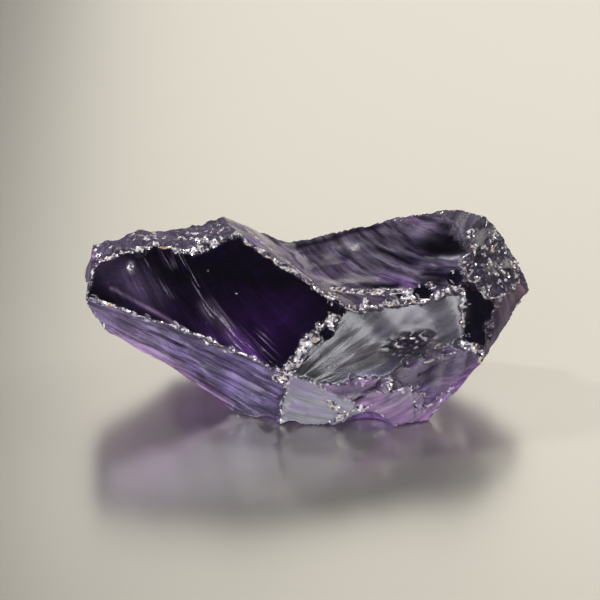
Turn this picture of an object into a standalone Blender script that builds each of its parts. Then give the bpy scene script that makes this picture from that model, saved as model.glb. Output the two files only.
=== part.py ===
# A rough amethyst, about 40 mm long, resting on its one flat face.
# It is worked the way a stone is knapped: a block is struck on all sides, and each
# blow takes off everything beyond one curved flake scar. The ridges are where scars meet.
# Axes: +X along the stone, -Y the broad dark and grey faces, +Z up, z = 0 the rest face.
import math

import bmesh
import bpy
import numpy as np
from mathutils import Matrix, Vector

mm = 0.001

# Driving dimensions, in millimetres
stoneLength = 40.6
stoneDepth = 17.5
stoneHeight = 16.4
blockMargin = 4.0    # of the block over the stone, which the blows take off
stoneMiddle = (-0.2, 1.2)  # where the scars below put the middle of the stone
frontStep = 0.75     # cell of the scars that face the front
backStep = 1.15      # cell of the scars at the ends and behind
flakeThickness = 14.0
chipSeed = 7
cleanWidth = 0.02

collection = None
cutterCollection = None


def clear_scene():
    for obj in list(bpy.data.objects):
        bpy.data.objects.remove(obj, do_unlink=True)


def new_collection(name):
    made = bpy.data.collections.new(name)
    bpy.context.scene.collection.children.link(made)
    return made


# A scar is a gently curved surface seen from its own middle: u runs level along it, v up it,
# and w out of the stone. Its height over the tangent plane, in mm, is
#   bowl:   half of curvature times distance squared, along u and along v
#   twist:  twist times u times v, a saddle
#   rings:  ripples, a sine of the distance from the point of the blow
#   ledges: steps across the scar, each rising by `drop` over `width` at `place` along `angle`
def scar(name, point, facing, reach, bowl=(0.0, 0.0), twist=0.0, rings=(), ledges=(),
         step=frontStep, saddle=None):
    w = Vector(facing).normalized()
    level = Vector((1, 0, 0)) if abs(w.z) > 0.9 else Vector((0, 0, 1)).cross(w)
    u = (level - level.dot(w) * w).normalized()
    return dict(name=name, point=np.array(point), u=np.array(u), v=np.array(w.cross(u)),
                w=np.array(w), reach=reach, bowl=bowl, twist=twist, rings=rings,
                ledges=ledges, step=step, saddle=saddle)


def soft(distance):
    return 8.0 * np.tanh(distance / 8.0)


def relief(s, u, v):
    su, sv = soft(u), soft(v)
    height = 0.5 * s["bowl"][0] * su ** 2 + 0.5 * s["bowl"][1] * sv ** 2 + s["twist"] * su * sv
    for (blowU, blowV), spacing, size in s["rings"]:
        height = height + size * np.sin(2 * math.pi * np.hypot(u - blowU, v - blowV) / spacing)
    for angle, place, width, drop in s["ledges"]:
        across = u * math.cos(math.radians(angle)) + v * math.sin(math.radians(angle)) - place
        height = height + drop / (1 + np.exp(-4 * across / width))
    if s["saddle"]:
        height = height + saddle_height(s["saddle"], u, v)
    return height


# Two slopes that meet in a rounded valley: the higher of the two at each place,
# blended over `round`. Each slope is level + along*u + across*v + warp*u*v.
def saddle_height(saddle, u, v):
    blend = saddle["round"]
    total = 0
    for level, along, across, warp in saddle["slopes"]:
        total = total + np.exp((level + along * u + across * v + warp * u * v) / blend)
    return blend * np.log(total)


def beyond(s, place):
    offset = np.asarray(place) - s["point"]
    return offset @ s["w"] - relief(s, offset @ s["u"], offset @ s["v"])


scars = {s["name"]: s for s in [
    # the broad faces towards the front
    scar("darkFace", (-2.3, -3.1, 11.5), (-0.09, -0.74, 0.67), (24, 14), bowl=(0.006, 0.012),
         rings=[((34, 26), 4.6, 0.07)]),
    scar("greyFace", (4.8, -3.7, 10.1), (0.26, -0.89, 0.37), (17, 13), bowl=(0.012, 0.03),
         rings=[((-12, -9), 5.2, 0.06)]),
    scar("lowerLeft", (-8.5, -4.4, 6.4), (-0.38, -0.88, -0.29), (19, 10), bowl=(0.016, 0.0),
         rings=[((26, -12), 3.9, 0.07)]),
    scar("bottomFront", (-0.1, -5.1, 0.0), (-0.05, -0.94, -0.35), (12, 10),
         rings=[((4, 12), 3.1, 0.06)]),
    scar("nose", (7.2, -6.0, 3.6), (0.30, -0.95, -0.06), (12, 10), rings=[((-4, 6), 2.6, 0.06)]),
    scar("rightLower", (7.7, -5.1, 4.6), (0.365, -0.92, 0.12), (16, 12), bowl=(0.02, 0.0),
         rings=[((-9, 4), 3.6, 0.06)]),
    scar("blackFacet", (14.4, -0.8, 10.4), (0.50, -0.79, 0.36), (12, 10)),
    scar("pinkStrip", (17.8, -0.8, 9.0), (0.64, -0.76, -0.08), (12, 10)),
    # the scooped top
    scar("scoop", (0.0, 0.0, 0.0), (0, 0, 1), (25, 12), rings=[((16, 14), 4.4, 0.10)],
         ledges=[(70, 5.6, 1.0, 0.25)],
         saddle=dict(round=0.35, slopes=[(12.15, -0.683, -0.33, 0.0), (11.66, 0.058, 0.014, 0.044)])),
    scar("crest", (-6.7, 1.6, 16.1), (-0.17, 0.0, 0.985), (26, 12),
         rings=[((28, 2), 11.5, 0.36), ((12, 14), 3.3, 0.10)]),
    # the two ends
    scar("roughEnd", (15.2, 5.1, 14.3), (0.50, -0.47, 0.73), (13, 14), rings=[((3, 20), 3.0, 0.13)],
         ledges=[(75, -4.5, 0.8, 0.35)]),
    scar("rightBack", (18.4, 4.4, 12.0), (0.80, 0.50, 0.33), (16, 16), step=backStep,
         rings=[((9, -9), 4.2, 0.12)]),
    scar("rightCap", (19.2, 0.6, 8.0), (0.90, -0.10, -0.42), (14, 14), step=backStep),
    scar("rightUnder", (14.3, -1.4, 4.2), (0.61, 0.14, -0.78), (18, 18), bowl=(0.0, 0.04),
         step=backStep, rings=[((-6, 16), 4.4, 0.10)]),
    scar("leftUpper", (-19.4, 2.6, 13.8), (-0.97, -0.05, 0.22), (14, 14), step=backStep,
         rings=[((8, 9), 3.8, 0.10)]),
    scar("leftLower", (-20.2, -0.1, 10.2), (-0.86, -0.10, -0.50), (14, 14), step=backStep),
    scar("leftUnder", (-12.2, 0.1, 4.6), (-0.53, 0.01, -0.85), (14, 22), bowl=(0.0, 0.035),
         step=backStep, rings=[((10, -16), 4.8, 0.12)]),
    # behind
    scar("backLeft", (-7.2, 5.1, 16.4), (-0.22, 0.88, 0.42), (28, 18), bowl=(0.004, 0.012),
         step=backStep, rings=[((-22, 10), 5.2, 0.14)]),
    scar("backRight", (9.8, 6.4, 15.5), (0.06, 0.98, 0.18), (30, 18), bowl=(0.006, 0.01),
         step=backStep, rings=[((20, 4), 5.6, 0.14)]),
    scar("backUnder", (-0.1, 7.1, 3.0), (0.05, 0.71, -0.71), (26, 16), bowl=(0.004, 0.02),
         step=backStep, rings=[((-18, -12), 5.0, 0.12)]),
]}


# Bites knocked out of the ridges: the two scars, the two ends of the stretch,
# how many bites, and their radius and depth in mm.
ridgeChips = [
    ("crest", "darkFace", (-18.6, 1.2, 14.4), (-7.0, 1.6, 16.0), 7, 1.1, 0.30),
    ("darkFace", "scoop", (-6.0, 1.4, 15.8), (2.8, -3.1, 12.2), 9, 1.0, 0.30),
    ("darkFace", "greyFace", (2.9, -3.6, 11.7), (-3.0, -7.2, 6.9), 9, 1.0, 0.32),
    ("scoop", "greyFace", (3.9, -3.2, 11.9), (13.6, -0.4, 12.2), 10, 1.1, 0.34),
    ("darkFace", "lowerLeft", (-19.4, -0.8, 10.0), (-4.2, -7.3, 6.6), 8, 0.9, 0.22),
    ("lowerLeft", "bottomFront", (-3.7, -7.3, 5.6), (-4.2, -5.9, 0.9), 4, 0.8, 0.24),
    ("greyFace", "bottomFront", (-2.9, -7.4, 6.0), (2.4, -6.6, 4.0), 4, 0.8, 0.20),
    ("greyFace", "roughEnd", (14.5, 0.2, 12.0), (14.6, -0.3, 11.4), 2, 1.1, 0.36),
    ("scoop", "roughEnd", (14.4, 1.0, 12.6), (14.3, 6.0, 15.6), 4, 1.2, 0.32),
    ("roughEnd", "blackFacet", (15.4, 0.4, 11.6), (19.4, 2.2, 10.4), 4, 1.0, 0.30),
    ("blackFacet", "pinkStrip", (18.6, 1.2, 9.2), (15.6, -2.1, 7.6), 4, 0.8, 0.22),
    ("greyFace", "rightLower", (7.6, -4.9, 5.6), (13.8, -1.9, 7.9), 4, 0.9, 0.18),
    ("scoop", "backRight", (-1.0, 6.8, 12.0), (13.6, 6.4, 15.8), 8, 1.1, 0.32),
    ("backLeft", "crest", (-18.0, 3.4, 14.0), (-8.0, 5.0, 15.8), 7, 1.2, 0.34),
    ("backLeft", "scoop", (-6.4, 5.4, 15.4), (-3.2, 6.6, 12.6), 4, 1.0, 0.30),
    ("rightBack", "backRight", (15.8, 6.2, 13.0), (16.9, 6.2, 8.0), 4, 1.0, 0.26),
    ("backRight", "backUnder", (-6.0, 6.8, 3.6), (14.0, 6.8, 3.6), 8, 1.1, 0.28),
    ("leftUnder", "backLeft", (-16.0, 4.2, 6.0), (-9.0, 7.0, 2.4), 4, 1.0, 0.26),
]

# Single larger bites and pits: place, radius in mm
singleBites = [
    ((5.0, -6.4, -0.5), 2.5),     # the notch in the front foot
    ((-4.2, -5.0, -0.3), 1.3),   # and a smaller one beside it
    ((-9.0, -6.1, 8.3), 1.1),    # a pit on the lower left ridge
    ((9.6, -4.3, 9.3), 1.1),     # the bruise in the grey face
    ((14.8, 0.2, 12.9), 1.3),    # the chipped corner at the right
    ((17.0, 3.2, 14.2), 1.5),    # hollows of the rough end
    ((18.6, 2.0, 11.6), 1.2),
    ((-19.6, 1.6, 14.6), 1.6),
    ((17.6, 7.2, 9.4), 1.8),     # behind
    ((-3.0, 8.9, 7.5), 2.2),
]


# The outward slope of a scar, from small differences.
def slope(s, place):
    small = 0.01
    return np.array([beyond(s, place + small * axis) - beyond(s, place - small * axis)
                     for axis in np.eye(3)]) / (2 * small)


# The nearest point to `place` that lies on both scars: repeated least moves (Newton).
def on_ridge(first, second, place):
    place = np.array(place, float)
    for _ in range(8):
        slopes = np.array([slope(first, place), slope(second, place)])
        misses = np.array([beyond(first, place), beyond(second, place)])
        place = place - slopes.T @ np.linalg.solve(slopes @ slopes.T, misses)
    outward = slopes.sum(axis=0)
    return place, outward / np.linalg.norm(outward)


def bite_places():
    random = np.random.default_rng(chipSeed)
    places = []
    for firstName, secondName, start, end, count, radius, depth in ridgeChips:
        first, second = scars[firstName], scars[secondName]
        for number in range(count):
            along = (number + 0.5 + random.uniform(-0.35, 0.35)) / count
            guess = np.array(start) * (1 - along) + np.array(end) * along
            place, outward = on_ridge(first, second, guess)
            size = radius * random.uniform(0.65, 1.35)
            bite = depth * random.uniform(0.6, 1.4)
            tilt = random.uniform(-0.35, 0.35, 3)
            outward = (outward + tilt) / np.linalg.norm(outward + tilt)
            places.append((place + outward * (size - bite), size))
    return places + [(np.array(place), size) for place, size in singleBites]


def link(name, bm, target):
    mesh = bpy.data.meshes.new(name)
    bm.to_mesh(mesh)
    bm.free()
    obj = bpy.data.objects.new(name, mesh)
    target.objects.link(obj)
    return obj


def mark_cutter(obj):
    obj.hide_render = True
    obj.display_type = "WIRE"


# A flake: a grid laid on the scar, pressed to its relief, and pulled outwards to a thick slab.
def flake(s):
    halfU, halfV = s["reach"]
    bm = bmesh.new()
    bmesh.ops.create_grid(bm, x_segments=round(2 * halfU / s["step"]),
                          y_segments=round(2 * halfV / s["step"]), size=1.0,
                          matrix=Matrix.Diagonal((halfU, halfV, 1.0, 1.0)))
    for vertex in bm.verts:
        vertex.co.z = relief(s, vertex.co.x, vertex.co.y)
    outer = bmesh.ops.extrude_face_region(bm, geom=bm.faces[:])["geom"]
    for vertex in (item for item in outer if isinstance(item, bmesh.types.BMVert)):
        vertex.co.z = flakeThickness + (2 * stoneHeight if s["saddle"] else 0.0)
    bmesh.ops.recalc_face_normals(bm, faces=bm.faces[:])
    columns = [Vector(s[axis]) for axis in "uvw"]
    turn = Matrix(columns).transposed().to_4x4()
    bm.transform(Matrix.Scale(mm, 4) @ Matrix.Translation(Vector(s["point"])) @ turn)
    cutter = link(s["name"] + "Flake", bm, cutterCollection)
    mark_cutter(cutter)
    return cutter


def bites():
    bm = bmesh.new()
    random = np.random.default_rng(chipSeed + 1)
    for place, size in bite_places():
        turn = Matrix.Rotation(random.uniform(0, math.pi), 4, Vector(random.normal(size=3)))
        squash = Matrix.Diagonal((*random.uniform(0.85, 1.15, 3), 1.0))
        bmesh.ops.create_icosphere(bm, subdivisions=1, radius=size * mm,
                                   matrix=Matrix.Translation(Vector(place) * mm) @ turn @ squash)
    cutter = link("ridgeBites", bm, cutterCollection)
    mark_cutter(cutter)
    return cutter


def block():
    bm = bmesh.new()
    size = Vector((stoneLength, stoneDepth, stoneHeight)) + Vector((1, 1, 1)) * blockMargin
    size *= mm
    middle = Matrix.Translation((stoneMiddle[0] * mm, stoneMiddle[1] * mm, size.z / 2))
    bmesh.ops.create_cube(bm, size=1.0, matrix=middle @ Matrix.Diagonal((*size, 1.0)))
    return link("rough_amethyst", bm, collection)


def strike(stone, cutter, overlapping=False):
    cut = stone.modifiers.new(cutter.name, "BOOLEAN")
    cut.operation = "DIFFERENCE"
    cut.solver = "EXACT"
    cut.use_self = overlapping
    cut.object = cutter
    graph = bpy.context.evaluated_depsgraph_get()
    worked = bpy.data.meshes.new_from_object(stone.evaluated_get(graph))
    stone.modifiers.clear()
    stone.data = worked


# Removes the needle-thin triangles that cuts leave along the ridges.
def clean(stone, shortest):
    bm = bmesh.new()
    bm.from_mesh(stone.data)
    bmesh.ops.remove_doubles(bm, verts=bm.verts[:], dist=shortest)
    bmesh.ops.triangulate(bm, faces=bm.faces[:])
    bmesh.ops.dissolve_degenerate(bm, edges=bm.edges[:], dist=shortest)
    bmesh.ops.triangulate(bm, faces=bm.faces[:])
    bm.to_mesh(stone.data)
    bm.free()


# Puts the middle of the stone's box over the origin; the rest face is already at z = 0.
def centre(stone):
    stone.data.transform(Matrix.Translation((-stoneMiddle[0] * mm, -stoneMiddle[1] * mm, 0)))


def amethyst():
    material = bpy.data.materials.new("amethyst")
    material.use_nodes = True
    shader = material.node_tree.nodes["Principled BSDF"]
    shader.inputs["Base Color"].default_value = (0.36, 0.24, 0.52, 1)
    shader.inputs["Roughness"].default_value = 0.08
    shader.inputs["Metallic"].default_value = 0.0
    shader.inputs["IOR"].default_value = 1.544
    shader.inputs["Transmission Weight"].default_value = 0.9
    material.diffuse_color = (0.36, 0.24, 0.52, 1)
    return material


clear_scene()
collection = new_collection("rough_amethyst")
cutterCollection = new_collection("blows")
stone = block()
for name, blow in scars.items():
    strike(stone, flake(blow))
strike(stone, bites(), overlapping=True)
clean(stone, cleanWidth * mm)
centre(stone)
stone.data.materials.clear()
stone.data.materials.append(amethyst())
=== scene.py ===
import math

import bpy
import numpy as np
from mathutils import Matrix
from numpy.linalg import norm


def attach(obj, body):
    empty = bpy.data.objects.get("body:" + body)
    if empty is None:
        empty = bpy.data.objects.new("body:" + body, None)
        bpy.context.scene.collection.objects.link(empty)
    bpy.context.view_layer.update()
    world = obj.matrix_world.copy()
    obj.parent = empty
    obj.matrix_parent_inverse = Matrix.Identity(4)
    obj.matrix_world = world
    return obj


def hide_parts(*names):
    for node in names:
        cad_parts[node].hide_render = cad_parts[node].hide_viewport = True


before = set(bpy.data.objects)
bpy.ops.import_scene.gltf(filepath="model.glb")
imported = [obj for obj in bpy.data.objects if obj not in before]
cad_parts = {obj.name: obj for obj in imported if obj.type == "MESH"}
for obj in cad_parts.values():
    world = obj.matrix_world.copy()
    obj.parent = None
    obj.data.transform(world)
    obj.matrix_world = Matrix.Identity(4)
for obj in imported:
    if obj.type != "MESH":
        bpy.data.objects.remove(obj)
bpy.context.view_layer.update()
print("frame loaded")

scene = bpy.context.scene
mm = 0.001

# What a user would change about the stone. Lengths are in millimetres.
stone = {
    "alongCount": 338,           # rows of points from the left tip to the right tip
    "aroundCount": 292,          # points round each row
    "middle": (-0.2, 1.2, 0.0),  # where the scars put the middle of the stone
    "edgeRound": 0.035,          # how softly two scars meet
    "crumbDepth": 0.16,
    "crumbSizes": (0.6, 0.3),    # across the coarse and the fine crumbs of the surface
    "chipSeed": 7,
    "smallChips": 760,
    "whiteShare": 0.78,          # how many of the crumbs on the ridges are crushed white
    "freshWhite": 0.3,           # how many more at the fresh spots
    "roughEndWhite": 0.32,       # and how many on the rough end
    "crestWhite": 0.18,          # and on the crest
    "whiteLimit": 0.38,          # how bruised a point of a crushed crumb has to be
    "hollowSatin": 0.06,         # roughness inside a clean hollow
    "sharpAngle": 26,            # edges sharper than this, in degrees, aren't smoothed
    "crumbsPerMm": (4.6, 2.3),   # the finer crumbs that the materials add, on clear quartz
    "crushedPerMm": 3.8,         # and on crushed quartz
    "bumpDepth": 0.07,
    "crushedBumpDepth": 0.08,
    "crushedRoughness": 0.24,
    "absorbColour": (0.52, 0.22, 0.78, 1.0),
    "absorbDensity": 210.0,      # for each metre of way through the stone
    "transmission": 0.65,
    "indexOfQuartz": 1.544,
}


# One flake scar: a surface that curves gently about `point`, facing `facing`. Its own axes are u
# along the level, v across it and w outward.
def scar(point, facing, bowl=(0.0, 0.0), rings=(), ledges=(), ribs=None, slopes=None):
    w = np.array(facing, float)
    w /= norm(w)
    level = np.array((1.0, 0, 0)) if abs(w[2]) > 0.9 else np.cross((0, 0, 1.0), w)
    u = level - (level @ w) * w
    u /= norm(u)
    return dict(point=np.array(point, float), u=u, v=np.cross(w, u), w=w, bowl=bowl,
                rings=rings, ledges=ledges, ribs=ribs, slopes=slopes)


scars = {
    "darkFace": scar(
        (-2.3, -3.1, 11.5), (-0.09, -0.74, 0.67), bowl=(0.006, 0.012),
        rings=[((34, 26), 4.6, 0.07)],
        ribs=dict(blow=(18, 20), seed=3, between=(30.6, 35.6), count=26, width=0.13, height=0.05)),
    "greyFace": scar(
        (4.8, -3.7, 10.1), (0.26, -0.89, 0.37), bowl=(0.012, 0.03), rings=[((-12, -9), 5.2, 0.06)]),
    "lowerLeft": scar(
        (-8.5, -4.4, 6.4), (-0.38, -0.88, -0.29), bowl=(0.016, 0), rings=[((26, -12), 3.9, 0.04)]),
    "bottomFront": scar((-0.1, -5.1, 0), (-0.05, -0.94, -0.35), rings=[((4, 12), 3.1, 0.06)]),
    "nose": scar((8, -5.1, 3.4), (0.29, -0.955, 0.02), rings=[((-4, 6), 1.9, 0.05)]),
    "rightLower": scar(
        (7.7, -5.1, 4.6), (0.365, -0.92, 0.12), bowl=(0.02, 0), rings=[((-9, 4), 3.6, 0.06)]),
    "blackFacet": scar((14.4, -0.8, 10.4), (0.5, -0.79, 0.36)),
    "pinkStrip": scar((16.2, -0.6, 8.4), (0.79, -0.6, 0.1), rings=[((-3, 5), 3.1, 0.04)]),
    "topCut": scar((12.5, 6.3, 15.8), (0.12, -0.25, 0.96), rings=[((9, -4), 2.1, 0.05)]),
    "scoop": scar(
        (0, 0, 0), (0, 0, 1), rings=[((16, 14), 4.4, 0.09), ((-14, 22), 2.3, 0.016)],
        ledges=[(70, 5.6, 1, 0.25)],
        slopes=dict(blend=0.35, each=[(12.15, -0.683, -0.33, 0), (11.66, 0.058, 0.014, 0.044)])),
    "crest": scar(
        (-6.7, 1.6, 16.1), (-0.17, 0, 0.985), rings=[((28, 2), 11.5, 0.36), ((12, 14), 3.3, 0.1)]),
    "roughEnd": scar(
        (15.4, 5.1, 14.3), (0.57, -0.45, 0.69), rings=[((3, 20), 3, 0.13)],
        ledges=[(75, -4.5, 0.8, 0.35)]),
    "rightBack": scar((18.4, 4.4, 12), (0.8, 0.5, 0.33), rings=[((9, -9), 4.2, 0.12)]),
    "rightCap": scar((19.2, 0.6, 8), (0.9, -0.1, -0.42)),
    "rightUnder": scar(
        (14.3, -1.4, 4.2), (0.61, 0.14, -0.78), bowl=(0, 0.04), rings=[((-6, 16), 4.4, 0.1)]),
    "leftUpper": scar((-19.4, 2.6, 13.8), (-0.97, -0.05, 0.22), rings=[((8, 9), 3.8, 0.1)]),
    "leftLower": scar((-20.2, -0.1, 10.2), (-0.86, -0.1, -0.5)),
    "leftUnder": scar(
        (-12.5, 0.1, 4.15), (-0.53, 0.01, -0.85), bowl=(0, 0.035), rings=[((10, -16), 4.8, 0.12)]),
    "backLeft": scar(
        (-7.2, 5.1, 16.4), (-0.22, 0.88, 0.42), bowl=(0.004, 0.012), rings=[((-22, 10), 5.2, 0.14)]),
    "backRight": scar(
        (9.8, 6.4, 15.5), (0.06, 0.98, 0.18), bowl=(0.006, 0.01), rings=[((20, 4), 5.6, 0.14)]),
    "backUnder": scar(
        (-0.1, 7.1, 3), (0.05, 0.71, -0.71), bowl=(0.004, 0.02), rings=[((-18, -12), 5, 0.12)]),
    "restFace": scar((0, 0, 0), (0, 0, -1)),
}
scarNames = list(scars)


# The larger bites knocked out of the ridges: the two scars, the ends of the stretch,
# how many, and their radius and depth.
ridgeChips = [
    ("crest", "darkFace", (-18.6, 1.2, 14.4), (-7, 1.6, 16), 7, 1.1, 0.3),
    ("darkFace", "scoop", (-6, 1.4, 15.8), (2.8, -3.1, 12.2), 9, 1, 0.3),
    ("darkFace", "greyFace", (2.9, -3.6, 11.7), (-3, -7.2, 6.9), 9, 1, 0.32),
    ("scoop", "greyFace", (3.9, -3.2, 11.9), (13.6, -0.4, 12.2), 10, 1.1, 0.34),
    ("darkFace", "lowerLeft", (-19.4, -0.8, 10), (-4.2, -7.3, 6.6), 8, 0.9, 0.22),
    ("lowerLeft", "bottomFront", (-3.7, -7.3, 5.6), (-4.2, -5.9, 0.9), 4, 0.8, 0.24),
    ("greyFace", "bottomFront", (-2.9, -7.4, 6), (2.4, -6.6, 4), 4, 0.8, 0.2),
    ("greyFace", "roughEnd", (14.5, 0.2, 12), (14.6, -0.3, 11.4), 2, 1.1, 0.36),
    ("scoop", "roughEnd", (14.4, 1, 12.6), (14.3, 6, 15.6), 4, 1.2, 0.32),
    ("roughEnd", "blackFacet", (15.4, 0.4, 11.6), (19.4, 2.2, 10.4), 4, 1, 0.3),
    ("blackFacet", "pinkStrip", (18.6, 1.2, 9.2), (15.6, -2.1, 7.6), 4, 0.8, 0.22),
    ("greyFace", "rightLower", (7.6, -4.9, 5.6), (13.8, -1.9, 7.9), 4, 0.9, 0.18),
    ("scoop", "backRight", (-1, 6.8, 12), (13.6, 6.4, 15.8), 8, 1.1, 0.14),
    ("backLeft", "crest", (-18, 3.4, 14), (-8, 5, 15.8), 7, 1.2, 0.34),
    ("backLeft", "scoop", (-6.4, 5.4, 15.4), (-3.2, 6.6, 12.6), 4, 1, 0.3),
    ("rightBack", "backRight", (15.8, 6.2, 13), (16.9, 6.2, 8), 4, 1, 0.26),
    ("backRight", "backUnder", (-6, 6.8, 3.6), (14, 6.8, 3.6), 8, 1.1, 0.28),
    ("leftUnder", "backLeft", (-16, 4.2, 6), (-9, 7, 2.4), 4, 1, 0.26),
]

# Single larger bites and pits: place and radius.
singleBites = [
    ((5, -6.4, -0.5), 2.5), ((-4.2, -5, -0.3), 1.3), ((-9, -6.1, 8.3), 1.1),
    ((9.6, -4.3, 9.3), 1.1), ((14.8, 0.2, 12.9), 1.3), ((17, 3.2, 14.2), 1.5),
    ((18.6, 2, 11.6), 1.2), ((-19.6, 1.6, 14.6), 1.6), ((17.6, 7.2, 9.4), 1.8),
    ((-3, 9.6, 7.6), 2.4),
]


# Height over the scar's tangent plane: half of curvature times distance squared each way
# (the distance levels off), plus a sine of the distance from each blow, plus steps.
def relief(s, u, v):
    levelOff = 8.0
    su, sv = levelOff * np.tanh(u / levelOff), levelOff * np.tanh(v / levelOff)
    height = 0.5 * s["bowl"][0] * su ** 2 + 0.5 * s["bowl"][1] * sv ** 2
    for (blowU, blowV), spacing, size in s["rings"]:
        height = height + size * np.sin(2 * math.pi * np.hypot(u - blowU, v - blowV) / spacing)
    for angle, place, width, drop in s["ledges"]:
        across = u * math.cos(math.radians(angle)) + v * math.sin(math.radians(angle)) - place
        height = height + drop / (1 + np.exp(-4 * across / width))
    if s["slopes"]:
        blend = s["slopes"]["blend"]
        height = height + blend * np.log(sum(
            np.exp((level + along * u + across * v + warp * u * v) / blend)
            for level, along, across, warp in s["slopes"]["each"]))
    if s["ribs"]:
        height = height + ribHeight(s["ribs"], u, v)
    return height


# Fine ribs on arcs about a far blow: each is a bell curve across its arc, fading in and out
# along it.
def ribHeight(ribs, u, v):
    random = np.random.default_rng(ribs["seed"])
    reach = np.hypot(u - ribs["blow"][0], v - ribs["blow"][1])
    height = 0.0
    for _ in range(ribs["count"]):
        place = random.uniform(*ribs["between"])
        width = ribs["width"] * random.uniform(0.6, 1.8)
        start, length = random.uniform(-7.0, 1.0), random.uniform(2.0, 7.0)
        fade = np.clip((v - start) / 1.5, 0, 1) * np.clip((start + length - v) / 1.5, 0, 1)
        height = height + ribs["height"] * random.uniform(0.3, 1.0) * fade * np.exp(
            -((reach - place) / width) ** 2)
    return height


# How far a place lies beyond one scar: its height over the tangent plane less the relief there.
def beyond(s, place):
    offset = place - s["point"]
    return offset @ s["w"] - relief(s, offset @ s["u"], offset @ s["v"])


# How far each place lies beyond every scar.
def beyondAll(place):
    return np.stack([beyond(s, place) for s in scars.values()])


# How far each place lies beyond the stone: the largest of those distances, rounded where two are
# close (the logarithm of a sum of exponentials).
def beyondStone(place):
    each = beyondAll(place)
    top = each.max(axis=0)
    rounding = stone["edgeRound"]
    return top + rounding * np.log(np.exp((each - top) / rounding).sum(axis=0))


# The slope of a function each way: its change over a small step, divided by the step.
def slopeOf(function, place):
    half = 0.01
    return np.stack([(function(place + half * axis) - function(place - half * axis)) / (2 * half)
                     for axis in np.eye(3)], axis=-1)


# Arrows made one unit long: each divided by its length.
def unitRows(arrows):
    return arrows / norm(arrows, axis=1, keepdims=True)


# The nearest point to `place` on both scars, by repeated least moves, and the way out there.
def onRidge(first, second, place):
    place = np.array(place, float)
    moves = 8
    for _ in range(moves):
        slopes = np.array([slopeOf(lambda p: beyond(first, p), place),
                           slopeOf(lambda p: beyond(second, p), place)])
        misses = np.array([beyond(first, place), beyond(second, place)])
        place = place - slopes.T @ np.linalg.solve(slopes @ slopes.T, misses)
    outward = slopes.sum(axis=0)
    return place, outward / norm(outward)


# Balls that bite the ridges: one in each equal part of a ridge, moved along it at random, its
# middle outside the stone by its radius less its depth. The single bites follow them.
def largeBites():
    random = np.random.default_rng(stone["chipSeed"])
    bites = []
    for firstName, secondName, start, end, count, radius, depth in ridgeChips:
        for number in range(count):
            along = (number + 0.5 + random.uniform(-0.35, 0.35)) / count
            guess = np.array(start) * (1 - along) + np.array(end) * along
            place, outward = onRidge(scars[firstName], scars[secondName], guess)
            size = radius * random.uniform(0.65, 1.35)
            bite = depth * random.uniform(0.6, 1.4)
            tilt = random.uniform(-0.35, 0.35, 3)
            outward = (outward + tilt) / norm(outward + tilt)
            bites.append((*(place + outward * (size - bite)), size))
    bites += [(*place, size) for place, size in singleBites]
    return np.array(bites)


# The stone is measured along rays. Row t runs from the left tip (0) to the right tip (1),
# column a goes round. A ray starts on a bent line inside the stone, x = 11 cos of the row's
# angle, and leaves in the direction (cos, -sin cos, sin sin) of the two angles. Both angles
# are drawn together where the stone is seen most: at the front and along the middle.
def rays():
    t = np.linspace(0, 1, stone["alongCount"])
    row = math.pi - (math.pi * t + 0.26 * np.sin(2 * math.pi * t))
    a = np.arange(stone["aroundCount"]) * 2 * math.pi / stone["aroundCount"]
    turn = a - 0.32 * np.sin(a) + 0.55
    row, turn = np.meshgrid(row, turn, indexing="ij")
    bend = np.cos(row)
    start = np.stack([11.0 * bend, 1.0 + 1.4 * bend ** 2, 6.0 + 2.8 * bend ** 2 - bend], -1)
    way = np.stack([bend, -np.sin(row) * np.cos(turn), np.sin(row) * np.sin(turn)], -1)
    return start.reshape(-1, 3), way.reshape(-1, 3)


# Distance along each ray to the surface, by halving between inside and outside.
def reachStone(start, way):
    near = np.zeros(len(start))
    far = np.full(len(start), 30.0)
    halvings = 17
    for _ in range(halvings):
        middle = (near + far) / 2
        outside = beyondStone(start + middle[:, None] * way) > 0
        far = np.where(outside, middle, far)
        near = np.where(outside, near, middle)
    return (near + far) / 2


# A spherical bite shortens every ray that ends inside it to where the ray enters it.
def cutBites(start, way, reach, bites):
    place = start + reach[:, None] * way
    cut = reach.copy()
    for bite in bites:
        centre, radius = bite[:3], bite[3]
        inside = np.flatnonzero(((place - centre) ** 2).sum(axis=1) < radius ** 2)
        toCentre = centre - start[inside]
        along = (toCentre * way[inside]).sum(axis=1)
        half = np.sqrt(np.maximum(radius ** 2 - (toCentre ** 2).sum(axis=1) + along ** 2, 0))
        cut[inside] = np.minimum(cut[inside], along - half)
    return cut


# Crumbs: space is filled with jittered cells, and the value is the distance to the nearest
# cell's middle, measured as the largest of three turned directions, so each crumb has
# flat sides. It is 0 at a middle and about 0.6 where cells meet. The second value is a random
# number for each crumb, the fraction of a large multiple of a sine.
def crumbs(place, size, seed):
    random = np.random.default_rng(seed)
    turnCount, scramble = 64, 43758.5453
    turns = np.linalg.qr(random.normal(size=(turnCount, 3, 3)))[0]
    keys = random.uniform(10, 90, (3, 5))
    cell = np.floor(place / size)
    nearest = np.full(len(place), 9.0)
    luck = np.zeros(len(place))
    for offset in np.stack(np.meshgrid((-1, 0, 1), (-1, 0, 1), (-1, 0, 1)), -1).reshape(-1, 3):
        chance = np.sin((cell + offset) @ keys) * scramble
        chance -= np.floor(chance)
        away = place / size - (cell + offset + chance[:, :3])
        turned = np.einsum("nij,nj->ni", turns[(chance[:, 3] * turnCount).astype(int)], away)
        distance = np.abs(turned).max(axis=1)
        luck = np.where(distance < nearest, chance[:, 4], luck)
        nearest = np.minimum(nearest, distance)
    return nearest, luck


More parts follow.
